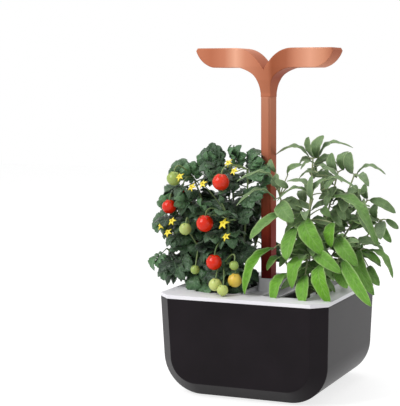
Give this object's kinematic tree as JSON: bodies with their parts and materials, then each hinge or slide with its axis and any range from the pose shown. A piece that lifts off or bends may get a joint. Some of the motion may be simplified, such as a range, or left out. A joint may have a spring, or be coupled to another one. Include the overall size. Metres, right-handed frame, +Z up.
{
  "type": "countertop hydroponic garden",
  "caption": "Countertop hydroponic garden: black planter with a lift-out tank, white cover with planting wells, height-adjustable copper lamp, growing tomato and sage.",
  "frame": {"origin": "on the surface the garden stands on, at the underside of the middle foot, under the centre of the planter", "axes": "+X to the right as seen from the front, front panel faces -Y, +Z up along the lamp column"},
  "size_m": [0.2765, 0.186, 0.3702],
  "materials": {
    "black_shell": "satin black moulded plastic",
    "white_shell": "satin white moulded plastic",
    "tank_grey": "matt dark grey plastic",
    "basket_black": "matt black plastic",
    "soil": "dark fibrous growing medium",
    "wick": "felt",
    "rubber": "matt rubber",
    "copper_skin": "satin rose-copper coated aluminium",
    "heat_metal": "plain aluminium",
    "board": "solder-masked board",
    "white_board": "white solder-masked board",
    "led": "LED package",
    "diffuser": "frosted diffuser",
    "float": "red foam and plastic",
    "steel": "zinc-plated steel",
    "cable": "flexible insulation",
    "tomato_green": "dark green living leaf and stem",
    "sage_green": "soft grey-green living leaf and stem",
    "ripe": "ripe fruit skin",
    "unripe": "unripe fruit skin",
    "petal": "yellow petals"
  },
  "bodies": {
    "base": {"outer_casing": "black_shell", "rubber_feet": "rubber"},
    "tank": {"water_tank": "tank_grey"},
    "lamp": {"lamp_column": "copper_skin", "column_plug": "basket_black", "lamp_wiring": "cable", "lamp_head": "copper_skin", "heat_plate_left": "heat_metal", "heat_plate_right": "heat_metal", "led_board_left": "white_board", "led_board_right": "white_board", "led_chips_left": "led", "led_chips_right": "led", "diffuser_left": "diffuser", "diffuser_right": "diffuser"},
    "button": {"power_button": "white_shell"},
    "float": {"water_float": "float"},
    "cover": {"top_cover": "white_shell", "float_guide": "white_shell", "basket_left": "basket_black", "basket_right": "basket_black", "pod_frame_left": "white_shell", "pod_frame_right": "white_shell", "wick_left": "wick", "wick_right": "wick", "growing_medium_left": "soil", "growing_medium_right": "soil", "lamp_socket": "white_shell", "control_board": "board", "push_switch": "basket_black", "power_inlet": "basket_black", "socket_screw": "steel", "tomato_plant": "tomato_green", "sage_plant": "sage_green", "ripe_tomatoes": "ripe", "unripe_tomatoes": "unripe", "tomato_flowers": "petal"}
  },
  "joints": [
    {"name": "tank_lift", "type": "slide", "parent": "base", "child": "tank", "axis": [0, 0, 1], "range_m": [0, 0.1]},
    {"name": "cover_lift", "type": "slide", "parent": "tank", "child": "cover", "axis": [0, 0, 1], "range_m": [0, 0.1]},
    {"name": "lamp_height", "type": "slide", "parent": "cover", "child": "lamp", "axis": [0, 0, 1], "range_m": [0, 0.08]},
    {"name": "button_press", "type": "slide", "parent": "cover", "child": "button", "axis": [0, 0, -1], "range_m": [0, 0.001], "stiffness_N_per_m": 400, "springref_m": -0.001},
    {"name": "float_rise", "type": "slide", "parent": "cover", "child": "float", "axis": [0, 0, 1], "range_m": [0, 0.028]}
  ]
}
